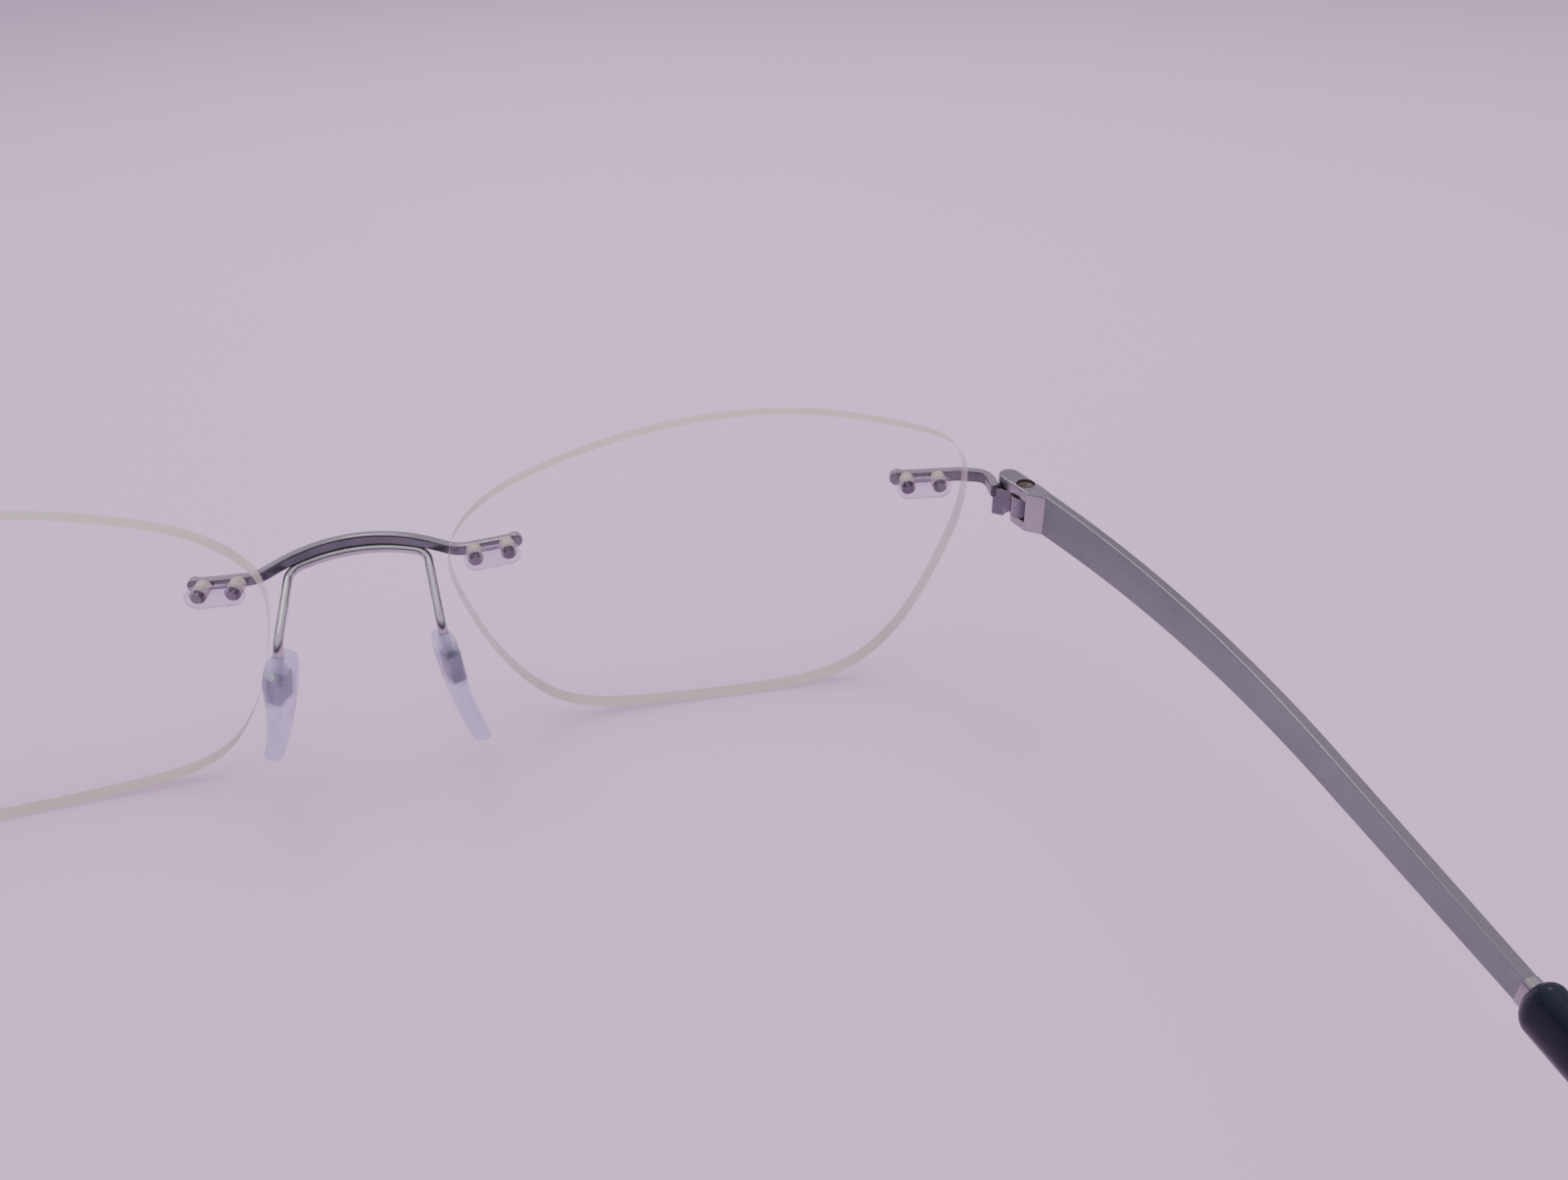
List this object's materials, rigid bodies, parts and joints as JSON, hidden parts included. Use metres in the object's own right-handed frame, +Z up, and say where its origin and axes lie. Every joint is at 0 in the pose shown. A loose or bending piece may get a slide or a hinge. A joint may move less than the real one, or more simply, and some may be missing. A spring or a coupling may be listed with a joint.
{
  "type": "rimless eyeglasses",
  "caption": "Rimless eyeglasses with drilled clear lenses, a slim arched bridge, wire-held nose pads and folding temples with dark ear tips.",
  "frame": {"origin": "on the floor, midway between the sides and midway between the front of the bridge and the rear of the ear tips", "axes": "+X to the wearer's right, +Y the way the wearer looks, +Z up"},
  "size_m": [0.1474, 0.1326, 0.0318],
  "materials": {
    "lens": "clear polished lens with a satin ground edge",
    "clear_bushing": "clear moulded plastic",
    "polished_metal": "polished titanium",
    "dark_metal": "polished gunmetal titanium",
    "washer": "dark friction washer",
    "pin_metal": "dull brown-plated pin head",
    "pad_silicone": "clear bluish silicone",
    "temple_grey": "satin grey lacquer",
    "tip_rubber": "glossy navy soft plastic"
  },
  "bodies": {
    "front": {"lens_right": "lens", "lens_left": "lens", "nasal_bushing_right": "clear_bushing", "nasal_bushing_left": "clear_bushing", "outer_bushing_right": "clear_bushing", "outer_bushing_left": "clear_bushing", "bridge_pins_right": "polished_metal", "bridge_pins_left": "polished_metal", "end_piece_pins_right": "polished_metal", "end_piece_pins_left": "polished_metal", "bridge_bar": "dark_metal", "pad_wire": "polished_metal", "end_piece_right": "dark_metal", "end_piece_left": "dark_metal", "hinge_washers_right": "washer", "hinge_washers_left": "washer"},
    "temple_right": {"hinge_fork_right": "polished_metal", "hinge_pin_right": "pin_metal", "temple_blade_right": "temple_grey", "tip_collar_right": "polished_metal", "ear_tip_right": "tip_rubber"},
    "pad_right": {"pad_insert_right": "dark_metal", "nose_pad_right": "pad_silicone"},
    "temple_left": {"hinge_fork_left": "polished_metal", "hinge_pin_left": "pin_metal", "temple_blade_left": "temple_grey", "tip_collar_left": "polished_metal", "ear_tip_left": "tip_rubber"},
    "pad_left": {"pad_insert_left": "dark_metal", "nose_pad_left": "pad_silicone"}
  },
  "joints": [
    {"name": "temple_fold_right", "type": "hinge", "parent": "front", "child": "temple_right", "pos_m": [0.0658, 0.05767, 0.02072], "axis": [0, 0, 1], "range_deg": [-88, 0]},
    {"name": "temple_fold_left", "type": "hinge", "parent": "front", "child": "temple_left", "pos_m": [-0.0658, 0.05767, 0.02072], "axis": [0, 0, 1], "range_deg": [0, 77]},
    {"name": "pad_swivel_right", "type": "hinge", "parent": "front", "child": "pad_right", "pos_m": [0.0076, 0.05637, 0.01302], "axis": [-0.0316, -0.0147, 0.9994], "range_deg": [-12, 12]},
    {"name": "pad_swivel_left", "type": "hinge", "parent": "front", "child": "pad_left", "pos_m": [-0.0082, 0.05637, 0.01362], "axis": [0.2346, -0.1094, 0.9659], "range_deg": [-12, 12]}
  ]
}
